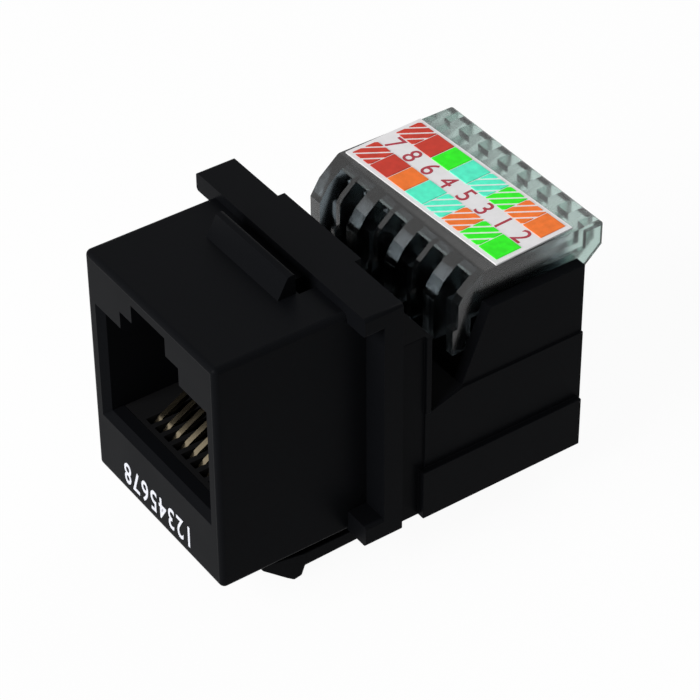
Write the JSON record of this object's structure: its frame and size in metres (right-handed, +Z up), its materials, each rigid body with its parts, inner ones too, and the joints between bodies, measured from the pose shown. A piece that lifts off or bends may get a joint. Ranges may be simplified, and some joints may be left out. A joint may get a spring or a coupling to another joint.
{
  "type": "keystone ethernet jack",
  "caption": "Snap-in network jack with a plug port, a springy panel latch, a stop flange and a clear toothed wiring cap over wire-piercing contacts.",
  "frame": {"origin": "middle of the plug port's mouth, in the port block's front face", "axes": "+Y into the jack, from the port to the wires; +Z up, towards the port's key notch and the cap; +X across the port"},
  "size_m": [0.0184, 0.0284, 0.0218],
  "materials": {
    "black_plastic": "satin moulded",
    "clear_plastic": "clear polished",
    "gold_contact": "gold plated",
    "tinned_contact": "tin plated",
    "board_green": "solder resist",
    "label_white": "printed film",
    "print_orange": "ink",
    "print_green": "ink",
    "print_blue": "ink",
    "print_brown": "ink"
  },
  "bodies": {
    "housing": {"front_housing": "black_plastic", "contact_comb": "black_plastic", "circuit_board": "board_green", "rear_housing": "black_plastic", "idc_block": "black_plastic", "idc_contact_1": "tinned_contact", "idc_contact_2": "tinned_contact", "idc_contact_3": "tinned_contact", "idc_contact_4": "tinned_contact", "idc_contact_5": "tinned_contact", "idc_contact_6": "tinned_contact", "idc_contact_7": "tinned_contact", "idc_contact_8": "tinned_contact"},
    "latch": {"panel_latch": "black_plastic"},
    "cap": {"termination_cap": "clear_plastic", "wiring_label": "label_white", "label_print_orange": "print_orange", "label_print_green": "print_green", "label_print_blue": "print_blue", "label_print_brown": "print_brown"},
    "contact_1": {"jack_contact_1": "gold_contact"},
    "contact_2": {"jack_contact_2": "gold_contact"},
    "contact_3": {"jack_contact_3": "gold_contact"},
    "contact_4": {"jack_contact_4": "gold_contact"},
    "contact_5": {"jack_contact_5": "gold_contact"},
    "contact_6": {"jack_contact_6": "gold_contact"},
    "contact_7": {"jack_contact_7": "gold_contact"},
    "contact_8": {"jack_contact_8": "gold_contact"}
  },
  "joints": [
    {"name": "latch_flex", "type": "hinge", "parent": "housing", "child": "latch", "pos_m": [0, 0.01148, -0.00985], "axis": [1, 0, 0], "range_deg": [-9, 0], "stiffness_Nm_per_rad": 0.5},
    {"name": "cap_lift", "type": "slide", "parent": "housing", "child": "cap", "axis": [0, 0, 1], "range_m": [0, 0.006]},
    {"name": "contact_1_flex", "type": "hinge", "parent": "housing", "child": "contact_1", "pos_m": [-0.00357, 0.0133, -0.0025], "axis": [1, 0, 0], "range_deg": [0, 4], "stiffness_Nm_per_rad": 0.1},
    {"name": "contact_2_flex", "type": "hinge", "parent": "housing", "child": "contact_2", "pos_m": [-0.00255, 0.0133, -0.0025], "axis": [1, 0, 0], "range_deg": [0, 4], "stiffness_Nm_per_rad": 0.1},
    {"name": "contact_3_flex", "type": "hinge", "parent": "housing", "child": "contact_3", "pos_m": [-0.00153, 0.0133, -0.0025], "axis": [1, 0, 0], "range_deg": [0, 4], "stiffness_Nm_per_rad": 0.1},
    {"name": "contact_4_flex", "type": "hinge", "parent": "housing", "child": "contact_4", "pos_m": [-0.00051, 0.0133, -0.0025], "axis": [1, 0, 0], "range_deg": [0, 4], "stiffness_Nm_per_rad": 0.1},
    {"name": "contact_5_flex", "type": "hinge", "parent": "housing", "child": "contact_5", "pos_m": [0.00051, 0.0133, -0.0025], "axis": [1, 0, 0], "range_deg": [0, 4], "stiffness_Nm_per_rad": 0.1},
    {"name": "contact_6_flex", "type": "hinge", "parent": "housing", "child": "contact_6", "pos_m": [0.00153, 0.0133, -0.0025], "axis": [1, 0, 0], "range_deg": [0, 4], "stiffness_Nm_per_rad": 0.1},
    {"name": "contact_7_flex", "type": "hinge", "parent": "housing", "child": "contact_7", "pos_m": [0.00255, 0.0133, -0.0025], "axis": [1, 0, 0], "range_deg": [0, 4], "stiffness_Nm_per_rad": 0.1},
    {"name": "contact_8_flex", "type": "hinge", "parent": "housing", "child": "contact_8", "pos_m": [0.00357, 0.0133, -0.0025], "axis": [1, 0, 0], "range_deg": [0, 4], "stiffness_Nm_per_rad": 0.1}
  ]
}
